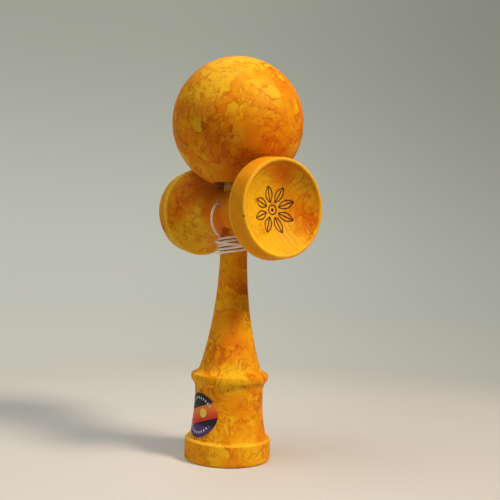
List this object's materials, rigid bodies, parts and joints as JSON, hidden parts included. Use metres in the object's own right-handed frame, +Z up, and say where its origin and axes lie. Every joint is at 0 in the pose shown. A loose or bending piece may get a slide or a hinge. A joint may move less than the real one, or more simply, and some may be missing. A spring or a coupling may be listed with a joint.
{
  "type": "kendama",
  "caption": "Wooden kendama: a turned handle with a spike and base cup, a pushed-on two-cup cross-piece, and a bored ball on the spike, tied by a string wound round the neck.",
  "frame": {"origin": "centre of the foot's underside, on the handle's axis", "axes": "+Z up the handle to the ball, +X along the cross-piece to the big cup, -Y the side with the string hole and the sticker"},
  "size_m": [0.0724, 0.0617, 0.1842],
  "materials": {
    "dyed_wood": "satin",
    "bare_wood": "matte",
    "string": "matte",
    "sticker": "satin"
  },
  "bodies": {
    "ken": {"ken": "dyed_wood", "sarado": "dyed_wood", "sticker": "sticker", "ken_knot": "string", "string_lead": "string", "string_winding": "string", "string_riser": "string"},
    "string_end": {"bead": "bare_wood", "bead_knot": "string", "string_core": "string"},
    "tama": {"tama": "dyed_wood"}
  },
  "joints": [
    {"name": "tama_lift", "type": "slide", "parent": "ken", "child": "string_end", "axis": [0, 0, 1], "range_m": [0, 0.04], "deforming": ["string_riser"]},
    {"name": "tama_spin", "type": "hinge", "parent": "string_end", "child": "tama", "pos_m": [0, 0, 0.1529], "axis": [0, 0, 1], "continuous": true}
  ]
}
